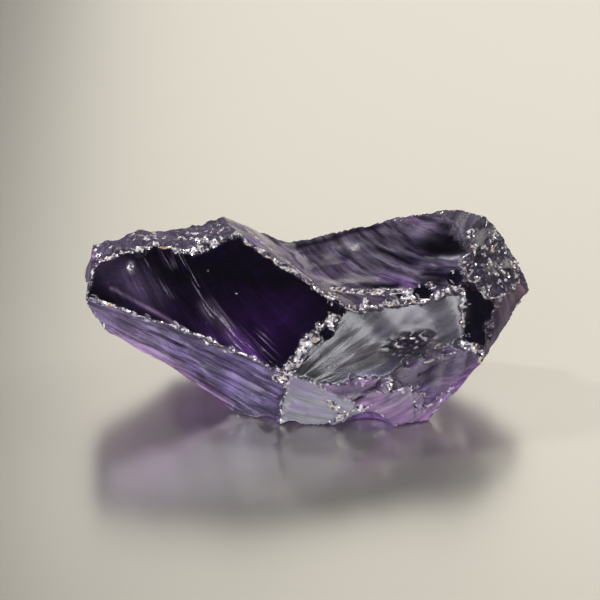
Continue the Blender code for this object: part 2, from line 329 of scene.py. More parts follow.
# Smooth bumps: a sum of waves in random directions, between about -1 and 1.
def waviness(place, size, seed, count=14):
    random = np.random.default_rng(seed)
    waves = random.normal(size=(3, count))
    waves *= 2 * math.pi / size / norm(waves, axis=0) * random.uniform(0.6, 1.5, count)
    heights = np.sin(place @ waves + random.uniform(0, 2 * math.pi, count)).sum(axis=1)
    return heights / count ** 0.5 * 0.7


# From 0 at `low` to 1 at `high`, as three times the square less twice the cube.
def smoothStep(low, high, value):
    x = np.clip((value - low) / (high - low), 0, 1)
    return x * x * (3 - 2 * x)


# How far each point is from a line through the given points.
def farFromLine(place, points):
    far = np.full(len(place), 99.0)
    for one, other in zip(np.array(points), np.array(points)[1:]):
        step = other - one
        along = np.clip((place - one) @ step / (step @ step), 0, 1)
        far = np.minimum(far, norm(place - one - along[:, None] * step, axis=1))
    return far


print("working out the stone")
start, way = rays()
reach = reachStone(start, way)
place = start + reach[:, None] * way
each = beyondAll(place)
order = np.argsort(-each, axis=0)[:2]
first, second = order
nearestTwo = np.take_along_axis(each, order, 0)
gap = nearestTwo[0] - nearestTwo[1]

# How badly each ridge is bruised, and how wide the band is: by the two scars that meet there.
ridgeWear = {
    ("crest", "darkFace"): (1, 0.85), ("backLeft", "crest"): (0.8, 0.6), ("darkFace", "scoop"): (1, 0.6),
    ("darkFace", "greyFace"): (1, 0.42), ("scoop", "greyFace"): (1, 0.62),
    ("darkFace", "lowerLeft"): (0.55, 0.22), ("lowerLeft", "bottomFront"): (0.9, 0.1),
    ("greyFace", "bottomFront"): (0.6, 0.1), ("scoop", "roughEnd"): (0.9, 0.2),
    ("greyFace", "roughEnd"): (1, 0.5), ("roughEnd", "blackFacet"): (0.9, 0.3),
    ("greyFace", "blackFacet"): (0.4, 0.15), ("greyFace", "rightLower"): (0.25, 0.1),
    ("bottomFront", "nose"): (0.6, 0.08), ("greyFace", "nose"): (0.5, 0.08),
    ("nose", "rightLower"): (0.5, 0.07), ("bottomFront", "restFace"): (0.8, 0.12),
    ("nose", "restFace"): (0.8, 0.1), ("blackFacet", "pinkStrip"): (0.3, 0.12),
    ("topCut", "scoop"): (0.5, 0.2), ("lowerLeft", "leftUnder"): (0.1, 0.06),
    ("rightLower", "rightUnder"): (0.1, 0.06), ("topCut", "roughEnd"): (0.9, 0.4),
}
usualWear = (0.6, 0.3)
wearTable = np.full((len(scars), len(scars), 2), usualWear)
for (one, other), pair in ridgeWear.items():
    i, j = scarNames.index(one), scarNames.index(other)
    wearTable[i, j] = wearTable[j, i] = pair
wear, bandWidth = wearTable[first, second].T

# Small bites along every ridge, more where it is worn. Their radius is the exponential of a bell
# curve, mostly near 0.3 mm, and their depth 0.15 to 0.5 times that.
random = np.random.default_rng(11)
ridgeGap = 0.12
ridgePoints = np.flatnonzero((gap < ridgeGap) & (random.uniform(size=len(gap)) < wear ** 2))
chosen = random.choice(ridgePoints, stone["smallChips"], replace=False)
outward = unitRows(slopeOf(beyondStone, place[chosen]) + random.uniform(-0.5, 0.5, (len(chosen), 3)))
size = np.exp(random.normal(-1.2, 0.45, len(chosen)))
depth = size * random.uniform(0.15, 0.5, len(chosen))
smallBites = np.column_stack([place[chosen] + outward * (size - depth)[:, None], size])
reach = cutBites(start, way, reach, np.vstack([largeBites(), smallBites]))
bitten = start + reach[:, None] * way
biteDepth = norm(bitten - place, axis=1)

# Clean hollows: place on the surface, radius of the bite and its depth.
hollows = np.array([
    (2.3, -3.8, 11.4, 1.25, 0.6), (1.2, -5, 9.8, 1.05, 0.5), (9.9, -1.4, 11.5, 1.2, 0.5),
    (13, -0.2, 12.3, 1.2, 0.5), (7.8, -2, 11.5, 0.7, 0.3),
])
middles, hollowSize, hollowDepth = hollows[:, :3], hollows[:, 3], hollows[:, 4]
outward = unitRows(slopeOf(beyondStone, middles))
hollowBites = np.column_stack([middles + outward * (hollowSize - hollowDepth)[:, None], hollowSize])
before = reach.copy()
reach = cutBites(start, way, reach, hollowBites)
hollow = smoothStep(0.02, 0.12, before - reach)
bitten = start + reach[:, None] * way

# The crumbled band beside each ridge is uneven along it. The larger bites are crumbled as well,
# and so are most parts of the rough end and the crest.
uneven = waviness(place, size=2.6, seed=5)
band = smoothStep(bandWidth * (0.8 + 0.5 * uneven), 0.0, gap) * wear
bruise = np.clip(band * 1.3 + smoothStep(0.05, 0.2, biteDepth) * np.clip(bandWidth, 0, 0.5), 0, 1)
onRough = np.isin(first, [scarNames.index(name) for name in ("roughEnd", "crest")])
roughShare = onRough * smoothStep(-1.6, 0.4, waviness(place, size=1.7, seed=8))

# Crumbled spots: middle, radius, and 1 where the spot is fresh, which is whiter and uneven.
spots = [
    ((-16, 0, 13.3), 0.3, 0), ((-6.6, -2.2, 11.9), 0.12, 0),
    ((11, -4, 8.4), 0.14, 0), ((-2.6, -6.6, 6), 0.9, 1),
    ((1.9, -2.2, 11.9), 0.6, 1), ((4.9, -2.6, 11.5), 0.55, 1),
    ((14.3, 0.1, 12.2), 0.6, 1), ((-9, -4.8, 8.5), 0.5, 1),
]
fresh = np.zeros(len(place))
for middle, radius, isFresh in spots:
    share = np.exp(-(norm(place - middle, axis=1) / radius) ** 2)
    if isFresh:
        fresh = np.maximum(fresh, share)
        share = share * smoothStep(-0.8, 0.3, uneven)
    bruise = np.maximum(bruise, share)

# Crumbled lines that aren't ridges: points, width, strength.
crumbledLines = [
    ([(1.9, -0.9, 11.7), (4.9, -1.6, 11.7), (8.5, -1.4, 11.6), (10.5, -0.8, 11.9)], 0.55, 1),
    ([(6.5, -5.5, 5), (7.8, -5, 4.5), (9, -4.8, 3), (9.4, -4.7, 1.4)], 0.16, 0.75),
    ([(-18.8, 1.8, 14), (-16.1, 2.2, 14.8), (-13.4, 2.1, 15), (-10.8, 2.2, 15.1),
      (-8, 3.6, 15.7)], 0.6, 0.9),
    ([(9.9, -4.2, 5.9), (11.4, -3.5, 6.1), (12.8, -3.1, 6.4), (13.8, -2.7, 6.9)], 0.12, 0.6),
    ([(-5.5, 4.2, 14.6), (-3.9, 2.7, 14), (-2.1, 1.1, 13.2), (-0.3, -0.6, 12.6)], 1.2, 0.62),
    ([(-2.6, -5.1, 0.3), (-1, -5.2, 0.12), (0.9, -5.2, 0.1), (2.4, -5.5, 0.8),
      (3.7, -6.1, 2.2)], 0.2, 0.9),
    ([(4.4, -6.2, 2.5), (5.3, -5.9, 1.2), (6.4, -5.6, 0.3), (8.2, -5.2, 0.12),
      (9.5, -4.8, 0.3)], 0.18, 0.9),
    ([(3.9, -6.3, 2.6), (5.1, -6, 2.5), (6.6, -5.5, 3.9), (7.6, -5.1, 4.7)], 0.14, 0.8),
    ([(11.5, 2, 13.3), (12.3, 1.65, 13.4), (13.3, 1.5, 13.6)], 0.2, 0.95),
    ([(1.7, -6.4, 3.2), (2.6, -5.9, 2.1), (2.4, -5.5, 1)], 0.75, 0.55),
]
for line, width, strength in crumbledLines:
    far = farFromLine(place, line)
    bruise = np.maximum(bruise, strength * smoothStep(width * (1.2 + 0.6 * uneven), 0.0, far))
bruise = np.clip(bruise + 0.7 * roughShare, 0, 1) * (1 - hollow)

# Dents: face, middle, radii, depth, and the height of the small steps that break the dent up.
# Each is deepest in the middle and ends near its radii: e to the power of minus the distance to
# the fourth.
dents = [
    ("greyFace", (4.0, -2.7), (2.3, 1.05), 0.2, 0.09),
    ("scoop", (12.2, 3.1), (2.7, 1.3), 0.75, 0.0),
    ("scoop", (3.0, 1.2), (3.4, 1.2), 0.25, 0.0),
]
steps = waviness(place * (1.0, 1.0, 2.2), size=1.0, seed=31)
dentBruise = 0.46
for face, (middleU, middleV), (radiusU, radiusV), depth, stepHeight in dents:
    offset = place - scars[face]["point"]
    u, v = offset @ scars[face]["u"], offset @ scars[face]["v"]
    share = np.exp(-(((u - middleU) / radiusU) ** 2 + ((v - middleV) / radiusV) ** 2) ** 2)
    share = share * (first == scarNames.index(face))
    reach = reach - share * (depth + stepHeight * np.tanh(steps * 3))
    bruise = bruise * (1 - share)
    if stepHeight:
        bruise = bruise + dentBruise * share * smoothStep(0.1, 0.7, steps)

# Crumbs are broken out of the bruised parts, in two sizes. The pits are deepest in the middle,
# and the depth of each coarse one is random.
onRest = first == scarNames.index("restFace")
broken = np.flatnonzero((bruise > 0.02) & ~onRest)
deep = np.zeros(len(place))
luck = np.ones(len(place))
coarseSize, fineSize = stone["crumbSizes"]
coarse, coarseLuck = crumbs(bitten[broken], coarseSize, seed=21)
fine, luck[broken] = crumbs(bitten[broken], fineSize, seed=22)
deep[broken] = (0.62 - coarse) + (0.6 - fine) * 0.55 + (coarseLuck - 0.5) * 0.5
reach = reach - stone["crumbDepth"] * bruise * np.clip(deep, -0.1, 1.0)

place = start + reach[:, None] * way - np.array(stone["middle"])
place[:, 2] = np.maximum(place[:, 2], 0.0)
print("stone worked out:", len(place), "points")


# How each face looks: its colour, its roughness, how strong its veins are and the blow that they
# follow: "arc" veins run round the blow, "fan" veins run out from it. The colours are painted light
# and shade, one lit or shaded copy of the same violet quartz for each face: nearly black on the dark
# face and the black facet for painted shade, grey on the grey face for a painted reflection, pale and
# bright violet on the lower faces and undersides for the painted glow of light shining through.
litFaceLooks = {
    "darkFace": ((0.01, 0.004, 0.016), 0.1, 0.7, ("arc", 18, 20)),
    "greyFace": ((0.15, 0.155, 0.14), 0.2, 0.8, ("fan", -11, -6.5)),
    "lowerLeft": ((0.42, 0.37, 0.54), 0.14, 1.3, ("fan", -24, 9)),
    "bottomFront": ((0.96, 0.96, 1), 0.2, 0.35, ("arc", 4, 12)),
    "nose": ((0.96, 0.64, 1), 0.14, 0.6, ("arc", -4, 6)),
    "rightLower": ((0.22, 0.17, 0.25), 0.18, 1, ("fan", -9, -4)),
    "blackFacet": ((0.016, 0.014, 0.02), 0.12, 0.5, ("fan", 0, 9)),
    "pinkStrip": ((0.42, 0.3, 0.34), 0.24, 1, ("fan", 0, 9)),
    "leftUnder": ((0.8, 0.46, 1), 0.12, 1, ("arc", 14, 18)),
    "rightUnder": ((0.8, 0.46, 1), 0.12, 1, ("arc", 14, 18)),
    "restFace": ((0.66, 0.4, 0.88), 0.2, 0.6, ("arc", 14, 18)),
    "scoop": ((0.4, 0.33, 0.45), 0.16, 1.3, ("arc", 14, 11)),
    "topCut": ((0.3, 0.26, 0.34), 0.26, 1, ("arc", 9, -4)),
    "crest": ((0.2, 0.15, 0.27), 0.26, 0.8, ("arc", 12, 14)),
    "roughEnd": ((0.12, 0.1, 0.13), 0.2, 1, ("arc", 3, 20)),
}
usualLook = ((0.28, 0.2, 0.36), 0.18, 0.9, ("arc", 14, 18))
# Clean hollows are painted nearly black inside: painted shade.
hollowShadeColour = (0.016, 0.012, 0.022)

# Painted light and shade along the edge between two faces: the face, its neighbour, width, colour,
# strength. The pale and violet ones are painted light along thin edges, the violet ones the glow of
# light shining through them; the dark one on the pink strip is painted shade.
edgeLightAndShade = [
    ("lowerLeft", "leftUnder", 1, (0.92, 0.62, 1), 1),
    ("rightLower", "rightUnder", 0.4, (0.8, 0.42, 1), 0.8),
    ("lowerLeft", "darkFace", 0.3, (0.66, 0.62, 0.74), 0.5),
    ("greyFace", "bottomFront", 0.25, (0.62, 0.6, 0.66), 0.5),
    ("nose", "rightLower", 0.18, (0.95, 0.85, 1), 0.7),
    ("pinkStrip", "rightUnder", 0.4, (0.14, 0.12, 0.16), 0.6),
]

# Clouds of other colour on each face: middle, radii, turn in degrees, colour, strength. The pale grey
# veils on the grey face are a painted reflection, the bright violet on the nose and the right lower
# face is painted glow, and the black in the grey face's dent and in the scoop's hollow is painted
# shade; the rest are patches of other colour.
cloudsOfColourAndLight = {"darkFace": [
    ((-13.6, 0.9), (2.8, 1.3), -32, (0.27, 0.2, 0.35), 0.8),
    ((-16.6, 2.2), (1.6, 1.2), 0, (0.09, 0.07, 0.11), 0.8),
    ((-6.8, -3.2), (3.2, 0.8), -35, (0.09, 0.03, 0.15), 0.7),
    ((-1.8, -3.8), (3.2, 2), -35, (0.045, 0.008, 0.085), 0.8),
    ((-0.5, -1), (2.2, 1.6), 0, (0.05, 0.015, 0.09), 0.6),
], "greyFace": [
    # the next two: painted reflection, a pale grey veil
    ((-0.8, -2.6), (2.6, 1.1), 40, (0.24, 0.25, 0.22), 0.6),
    ((5, -0.3), (4, 1.3), -8, (0.28, 0.28, 0.275), 0.7),
    ((7.4, -2), (1.6, 1.2), 20, (0.42, 0.37, 0.44), 0.6),
    # painted shade in the dent
    ((4, -2.7), (2.3, 1), 0, (0.03, 0.02, 0.04), 0.88),
    ((6.1, -3.1), (0.6, 0.5), 0, (0.46, 0.38, 0.36), 0.8),
    ((-1.6, -5.4), (2.6, 0.9), 10, (0.42, 0.4, 0.62), 0.7),
    ((0.9, -5), (1.5, 0.35), 40, (0.1, 0.03, 0.26), 0.9),
], "rightLower": [
    # painted glow of violet light shining through
    ((4.8, -2.8), (4, 1.3), 35, (0.88, 0.45, 1), 1),
    ((3.5, 1.2), (2, 0.5), 15, (0.2, 0.14, 0.24), 0.5),
    ((2.6, -2), (1.2, 1.2), 0, (0.5, 0.34, 0.72), 0.6),
], "nose": [
    # painted glow of violet light shining through
    ((4, -2), (2.2, 1.6), 20, (0.88, 0.45, 1), 0.95),
    ((0, -1), (2, 1.2), 0, (0.92, 0.62, 1), 0.7),
    ((-5, 1), (1.6, 0.7), 0, (0.46, 0.46, 0.6), 0.85),
    ((-1.3, -0.2), (0.35, 0.55), -30, (0.3, 0.2, 0.42), 0.8),
    ((0.1, 0), (0.45, 0.35), 0, (0.22, 0.16, 0.28), 0.8),
], "lowerLeft": [
    ((-8.4, 3), (3.6, 1.3), -28, (0.44, 0.3, 0.54), 0.7),
    ((3, -3.4), (3.6, 2), -28, (0.34, 0.31, 0.5), 0.6),
    ((2.4, -0.6), (3, 0.9), -28, (0.4, 0.36, 0.42), 0.65),
], "scoop": [
    ((0.5, 2.6), (3.6, 1.6), -20, (0.11, 0.08, 0.15), 0.6),
    ((7, 4.4), (3, 1), 0, (0.24, 0.19, 0.27), 0.6),
    # painted shade in the hollow
    ((12, 3.1), (2.9, 1.2), 0, (0.012, 0.01, 0.014), 1),
], "roughEnd": [
    ((-3, -3), (2, 2), 0, (0.06, 0.05, 0.07), 0.7),
], "pinkStrip": [
    ((0, -1.4), (1.5, 1.2), 0, (0.12, 0.11, 0.15), 0.7),
]}

# Lines painted along each face: points, width, colour, strength. The broad black one in the scoop's
# hollow is painted shade and the white one under it a painted highlight; the others are pale and dark
# streaks.
linesOfColourAndLight = {"scoop": [
    # painted shade in the hollow
    ([(10.8, 3.3), (13.9, 2.8)], 1.1, (0.01, 0.008, 0.012), 1),
    ([(0.5, 4.7), (3.5, 4.1), (5.3, 2.9), (8.6, 0.6), (9.4, 0.1)], 0.3, (0.46, 0.4, 0.52), 0.85),
    ([(5.9, 3.8), (7.9, 2.5), (9.4, 1.5)], 0.3, (0.03, 0.015, 0.05), 0.85),
    ([(9.3, 2.3), (10.6, 1.5), (11, 0.8), (10.3, 0.2), (9.6, 0)], 0.14,
     (0.75, 0.7, 0.76), 0.9),
    ([(6.1, 0.3), (7.9, 0), (9, -0.9)], 0.4, (0.34, 0.19, 0.48), 0.8),
    ([(4.6, -0.6), (6.5, -1.3)], 0.45, (0.04, 0.015, 0.07), 0.8),
    # painted highlight under the hollow
    ([(11.5, 2), (12.3, 1.6), (13.7, 1.7)], 0.2, (1, 1, 1), 1),
    ([(-5, 2.3), (-3.2, 1.8), (-1, 1.9), (0.8, -0.7)], 0.9, (0.2, 0.16, 0.24), 0.6),
    ([(-3, 6.9), (2, 6.6), (6, 6.4)], 0.45, (0.03, 0.008, 0.05), 0.95),
    ([(5.8, -0.9), (7.6, -0.6)], 0.42, (0.02, 0.004, 0.04), 1),
    ([(1.4, 3.4), (2.8, 3.4)], 0.55, (0.035, 0.01, 0.06), 0.85),
    ([(6, 3.7), (7.4, 2.6), (8.8, 1.5)], 0.26, (0.02, 0.006, 0.03), 1),
    ([(10, 0.3), (12.2, 0), (13.6, -0.3)], 0.4, (0.01, 0.005, 0.015), 1),
    ([(-1, 6.2), (-0.5, 5.2), (0.8, 2.4), (2.4, -0.6)], 0.18, (0.62, 0.56, 0.66), 0.8),
    ([(3.4, 2.8), (4.8, 1.6), (6, 0.6)], 0.22, (0.55, 0.48, 0.58), 0.7),
    ([(2.6, 5.4), (4.4, 4.8), (7, 3.4), (9.2, 2.4)], 0.2, (0.58, 0.52, 0.62), 0.75),
    ([(8.4, 6.2), (10.4, 6.2)], 0.4, (0.3, 0.12, 0.34), 0.8),
    ([(-3.5, 5.4), (1, 5.6)], 0.3, (0.24, 0.15, 0.34), 0.7),
    ([(10, -0.6), (13.6, 0.3)], 0.35, (0.02, 0.015, 0.03), 0.8),
], "darkFace": [
    ([(-6.9, -0.7), (-4.6, -3), (-3, -4.6)], 0.55, (0.19, 0.16, 0.17), 0.7),
    ([(-4.6, -3.2), (-2.2, -5.4)], 0.6, (0.3, 0.12, 0.5), 0.8),
    ([(-15.4, 0.3), (-13.1, -0.8), (-11.1, -1.7), (-8.4, -3.2)], 0.16, (0.55, 0.38, 0.62), 0.8),
    ([(-14, 2.6), (-13.9, 1.9)], 0.22, (0.8, 0.78, 0.82), 0.9),
], "lowerLeft": [
    ([(0.1, 0.3), (4.4, -1.7)], 0.18, (0.1, 0.08, 0.14), 0.7),
    ([(-0.8, 1), (3.6, -0.6)], 0.14, (0.12, 0.1, 0.16), 0.7),
    ([(-2.4, 1.5), (-1.7, -1.2), (-1.2, -1.8)], 0.22, (0.66, 0.62, 0.8), 0.6),
    ([(-3, 0), (1, -1.4), (6, -3)], 0.2, (0.62, 0.56, 0.68), 0.6),
    ([(-6, 2.2), (-2, 0.6), (3, -1.6)], 0.16, (0.09, 0.07, 0.13), 0.7),
    ([(-1, -1.4), (4, -3.2)], 0.22, (0.1, 0.08, 0.15), 0.6),
], "greyFace": [
    ([(-5.5, -3.2), (-4.5, -2), (-1.9, 0.3), (0.6, 1.6)], 0.9, (0.1, 0.1, 0.105), 0.8),
    ([(-4.4, -4), (-1.6, -1.4), (0.4, 0.2)], 0.3, (0.3, 0.31, 0.3), 0.6),
    ([(-3.6, -4.4), (-0.6, -2.2), (1.2, -1)], 0.22, (0.07, 0.07, 0.08), 0.6),
    ([(2.2, 1.9), (5.5, 1.6), (8, 1)], 0.3, (0.12, 0.09, 0.12), 0.8),
], "nose": [
    ([(-4.3, 0.1), (-3.2, 0.6), (-1.9, 1.2)], 0.36, (0.03, 0, 0.09), 1),
    ([(1.25, -1.5), (1.3, -2.7)], 0.12, (0.04, 0.02, 0.08), 0.95),
]}

# Where the dark face has its hairlines, painted pale as highlights: points and width.
hairlineHighlights = [
    ([(-12.5, 3), (-12, 2), (-11.4, 1.1), (-9.9, -0.2)], 0.22),
    ([(-11.7, 4.6), (-10.8, 3.3), (-10.2, 2.7)], 0.3),
    ([(-9.9, 3.8), (-8.9, 2.5), (-7.9, 0.9), (-6.9, -0.7), (-5.8, -1.8), (-4.6, -3),
      (-3.2, -4.3)], 0.3),
    ([(-6.6, -1), (-4.3, -2.9), (-2.5, -4.8)], 0.65),
    ([(-1.9, -3.2), (-0.9, -5.2)], 0.6),
]


# A colour changed towards a tint by a share: the weighted mean of the two.
def tinted(skin, tint, share):
    return skin * (1 - share[:, None]) + np.array(tint) * share[:, None]


# The skin of one face: its face colour, then its clouds, lines and edge light, each strongest in its
# middle and fading as e to the power of minus the distance squared. Much of it is painted light and
# shade.
def paintFace(name, flat, neighbour, gap):
    u, v = flat.T
    skin = np.tile(litFaceLooks.get(name, usualLook)[0], (len(flat), 1))
    for middle, radii, turned, tint, strength in cloudsOfColourAndLight.get(name, ()):
        c, d = math.cos(math.radians(turned)), math.sin(math.radians(turned))
        x, y = u - middle[0], v - middle[1]
        far = ((x * c + y * d) / radii[0]) ** 2 + ((y * c - x * d) / radii[1]) ** 2
        skin = tinted(skin, tint, strength * np.exp(-far))
    for line, width, tint, strength in linesOfColourAndLight.get(name, ()):
        skin = tinted(skin, tint, strength * np.exp(-(farFromLine(flat, line) / width) ** 2))
    for face, other, width, tint, strength in edgeLightAndShade:
        if face == name:
            beside = neighbour == scarNames.index(other)
            skin = tinted(skin, tint, strength * np.exp(-(gap / width) ** 2) * beside)
    return skin


# Colour with its painted light and shade, roughness, veins, painted hairline highlights and the
# place that the veins follow, of every point. That place is the distance from the blow and the way
# round it, in the order across and along the veins, and a third number keeps the faces apart.
def faceSkin(placeOnScars, nearest, neighbour, gap, hollow):
    colour = np.ones((len(nearest), 4))
    satin, veins, hairHighlights = np.zeros((3, len(nearest)))
    streaks = np.zeros((len(nearest), 3))
    for index, name in enumerate(scarNames):
        here = np.flatnonzero(nearest == index)
        _, satinHere, veinsHere, (kind, *blow) = litFaceLooks.get(name, usualLook)
        offset = placeOnScars[here] - scars[name]["point"]
        flat = np.stack([offset @ scars[name]["u"], offset @ scars[name]["v"]], axis=-1)
        colour[here, :3] = paintFace(name, flat, neighbour[here], gap[here])
        if name == "darkFace":
            for line, width in hairlineHighlights:
                hairHighlights[here] += np.exp(-(farFromLine(flat, line) / width) ** 2)
        satin[here] = satinHere
        veins[here] = veinsHere
        fromBlow = flat - blow
        distance = norm(fromBlow, axis=1)
        roundBlow = np.arctan2(fromBlow[:, 1], fromBlow[:, 0]) * (distance.mean() if len(here) else 1.0)
        across, along = (distance, roundBlow) if kind == "arc" else (roundBlow, distance)
        streaks[here] = np.stack([across, along, np.full(len(here), 7.0 * index)], axis=-1)
    # the clean hollows are painted nearly black: painted shade
    colour[:, :3] = tinted(colour[:, :3], hollowShadeColour, hollow)
    satin = satin * (1 - hollow) + stone["hollowSatin"] * hollow
    return colour, satin, veins, np.clip(hairHighlights, 0, 1), streaks


# The rows become rings; the first and last row, which each meet in one point, become the tips.
# Each square of the grid is split along the diagonal that stands further out.
def ringFaces(rows, columns, heightOut):
    ring = np.arange(rows * columns).reshape(rows, columns)
    a, b = ring[:-1], np.roll(ring, -1, axis=1)[:-1]
    c, d = np.roll(ring, -1, axis=1)[1:], ring[1:]
    a, b, c, d = (corners.ravel() for corners in (a, b, c, d))
    split = (heightOut[a] + heightOut[c] > heightOut[b] + heightOut[d])[:, None]
    one = np.where(split, np.stack([a, b, c], -1), np.stack([a, b, d], -1))
    two = np.where(split, np.stack([a, c, d], -1), np.stack([b, c, d], -1))
    left, right = rows * columns, rows * columns + 1
    leftFan = np.stack([np.full(columns, left), np.roll(ring[0], -1), ring[0]], -1)
    rightFan = np.stack([np.full(columns, right), ring[-1], np.roll(ring[-1], -1)], -1)
    return np.vstack([one, two, leftFan, rightFan])


# A new object in the scene.
def addObject(name, data):
    obj = bpy.data.objects.new(name, data)
    scene.collection.objects.link(obj)
    return obj


# A mesh object of triangles, from points in millimetres.
def meshFrom(name, points, faces):
    mesh = bpy.data.meshes.new(name)
    mesh.vertices.add(len(points))
    mesh.vertices.foreach_set("co", (points * mm).astype(np.float32).ravel())
    mesh.loops.add(faces.size)
    mesh.loops.foreach_set("vertex_index", faces.astype(np.int32).ravel())
    mesh.polygons.add(len(faces))
    mesh.polygons.foreach_set("loop_start", np.arange(0, faces.size, 3, dtype=np.int32))
    mesh.update(calc_edges=True)
    mesh.validate()
    return addObject(name, mesh)


rows, columns = stone["alongCount"], stone["aroundCount"]


# The inner rows, with the two tips after them, each the mean of an end row.
def ringsAndTips(values):
    grid = values.reshape(rows, columns, -1)
    tips = [grid[0].mean(axis=0, keepdims=True), grid[-1].mean(axis=0, keepdims=True)]
    return np.vstack([grid[1:-1].reshape(-1, grid.shape[2]), *tips])


heightOut = ringsAndTips(reach)[:, 0]
faces = ringFaces(rows - 2, columns, heightOut)
points = ringsAndTips(place)
corner = points[faces]
signedVolume = np.einsum("ij,ij->i", corner[:, 0], np.cross(corner[:, 1], corner[:, 2])).sum() / 6
if signedVolume < 0:
    faces = faces[:, ::-1]
print("stone volume in cubic mm:", round(abs(signedVolume)), "faces:", len(faces))
amethystPiece = meshFrom("amethyst_surface", points, faces)
onScars = place + np.array(stone["middle"])
skin, satin, veins, hairHighlights, streaks = faceSkin(onScars, first, second, gap, hollow)
for name, kind, field, values in (
        ("skin", "FLOAT_COLOR", "color", skin), ("satin", "FLOAT", "value", satin),
        ("bruise", "FLOAT", "value", bruise), ("streaks", "FLOAT_VECTOR", "vector", streaks),
        ("veins", "FLOAT", "value", veins), ("hairHighlights", "FLOAT", "value", hairHighlights)):
    attribute = amethystPiece.data.attributes.new(name, kind, "POINT")
    attribute.data.foreach_set(field, ringsAndTips(values).astype(np.float32).ravel())

# A triangle is crushed quartz when two or more of its corners are bruised and their crumb is
# among the white ones.
whiteShare = np.where(onRough, stone["roughEndWhite"], stone["whiteShare"])
whiteShare = whiteShare + stone["freshWhite"] * fresh
whiteShare[first == scarNames.index("crest")] = stone["crestWhite"]
whitened = ringsAndTips(bruise * (luck < whiteShare))[:, 0]
crumbWhite = (whitened[faces] > stone["whiteLimit"]).sum(axis=1) >= 2
amethystPiece.data.polygons.foreach_set("material_index", crumbWhite.astype(np.int32))
amethystPiece.data.shade_smooth()
amethystPiece.data.set_sharp_from_angle(angle=math.radians(stone["sharpAngle"]))


# A node by type, with its plain values set.
def addNode(tree, kind, **values):
    node = tree.nodes.new(kind)
    for name, value in values.items():
        setattr(node, name, value)
    return node


# Each input set to its value, or linked where the value is another node's output.
def putInputs(tree, inputs, values):
    for socket, value in zip(inputs, values):
        if isinstance(value, (int, float, tuple)):
            socket.default_value = value
        else:
            tree.links.new(value, socket)


# One of the values stored at every point.
def attributeNode(tree, name, output):
    return addNode(tree, "ShaderNodeAttribute", attribute_name=name).outputs[output]


# A sum, product or other operation on numbers or outputs.
def mathNode(tree, operation, *values):
    node = addNode(tree, "ShaderNodeMath", operation=operation)
    putInputs(tree, node.inputs, values)
    return node.outputs[0]


# One times two.
def product(tree, one, two):
    return mathNode(tree, "MULTIPLY", one, two)


# One times two, plus three.
def productPlus(tree, one, two, three):
    return mathNode(tree, "MULTIPLY_ADD", one, two, three)


# A sum, difference or product of two arrows.
def arrowNode(tree, operation, one, two):
    node = addNode(tree, "ShaderNodeVectorMath", operation=operation)
    putInputs(tree, node.inputs, (one, two))
    return node.outputs


# Two colours mixed by a share, or the first multiplied by the second.
def mixColour(tree, share, one, two, blend="MIX"):
    node = addNode(tree, "ShaderNodeMix", data_type="RGBA", blend_type=blend)
    putInputs(tree, [node.inputs[number] for number in (0, 6, 7)], (share, one, two))
    return node.outputs[2]


# A smooth step from `toLow` at `low` to `toHigh` at `high`.
def rangeNode(tree, value, low, high, toLow=0.0, toHigh=1.0):
    node = addNode(tree, "ShaderNodeMapRange", interpolation_type="SMOOTHSTEP")
    putInputs(tree, node.inputs, (value, low, high, toLow, toHigh))
    return node.outputs[0]


# Cloudy noise between 0 and 1, `scale` clouds to each unit of the place.
def noiseNode(tree, vector, scale, detail=3.0, roughness=0.55, distortion=0.0):
    node = addNode(tree, "ShaderNodeTexNoise")
    sockets = [node.inputs[name] for name in ("Vector", "Scale", "Detail", "Roughness", "Distortion")]
    putInputs(tree, sockets, (vector, scale, detail, roughness, distortion))
    return node.outputs["Fac"]


# A place stretched by a factor each way.
def scaled(tree, vector, scale):
    node = addNode(tree, "ShaderNodeMapping")
    putInputs(tree, [node.inputs["Vector"], node.inputs["Scale"]], (vector, scale))
    return node.outputs["Vector"]


# Broken quartz: space filled with angular crumbs, `Fineness` of them to each unit of the place.
# Crumbs is the distance to a crumb's middle, Glints is 1 on the crumbs that catch the light and
# Facets is a slope across each crumb, tilted at random.
def crumbGroup():
    group = bpy.data.node_groups.new("brokenQuartz", "ShaderNodeTree")
    for name, way, kind in (("Place", "INPUT", "Vector"), ("Fineness", "INPUT", "Float"),
                            ("Crumbs", "OUTPUT", "Float"), ("Glints", "OUTPUT", "Float"),
                            ("Facets", "OUTPUT", "Float")):
        group.interface.new_socket(name, in_out=way, socket_type="NodeSocket" + kind)
    inside = addNode(group, "NodeGroupInput").outputs
    outside = addNode(group, "NodeGroupOutput").inputs
    cells = addNode(group, "ShaderNodeTexVoronoi", feature="F1", distance="CHEBYCHEV")
    tint = addNode(group, "ShaderNodeSeparateColor")
    away = arrowNode(group, "SUBTRACT", inside["Place"], cells.outputs["Position"])
    tilt = arrowNode(group, "SUBTRACT", cells.outputs["Color"], (0.5, 0.5, 0.5))
    slope = arrowNode(group, "DOT_PRODUCT", away["Vector"], tilt["Vector"])["Value"]
    link = group.links.new
    link(inside["Place"], cells.inputs["Vector"])
    link(inside["Fineness"], cells.inputs["Scale"])
    link(cells.outputs["Distance"], outside["Crumbs"])
    link(cells.outputs["Color"], tint.inputs[0])
    link(rangeNode(group, tint.outputs[0], 0.72, 0.95), outside["Glints"])
    link(product(group, slope, inside["Fineness"]), outside["Facets"])
    return group


crumbNodes = crumbGroup()


# The outputs of the crumb group at one fineness.
def crumbNode(tree, place, fineness):
    node = addNode(tree, "ShaderNodeGroup", node_tree=crumbNodes)
    putInputs(tree, node.inputs, (place, fineness))
    return node.outputs


# A new material, its tree and its shader.
def newMaterial(name):
    material = bpy.data.materials.new(name)
    material.use_nodes = True
    return material, material.node_tree, material.node_tree.nodes["Principled BSDF"]


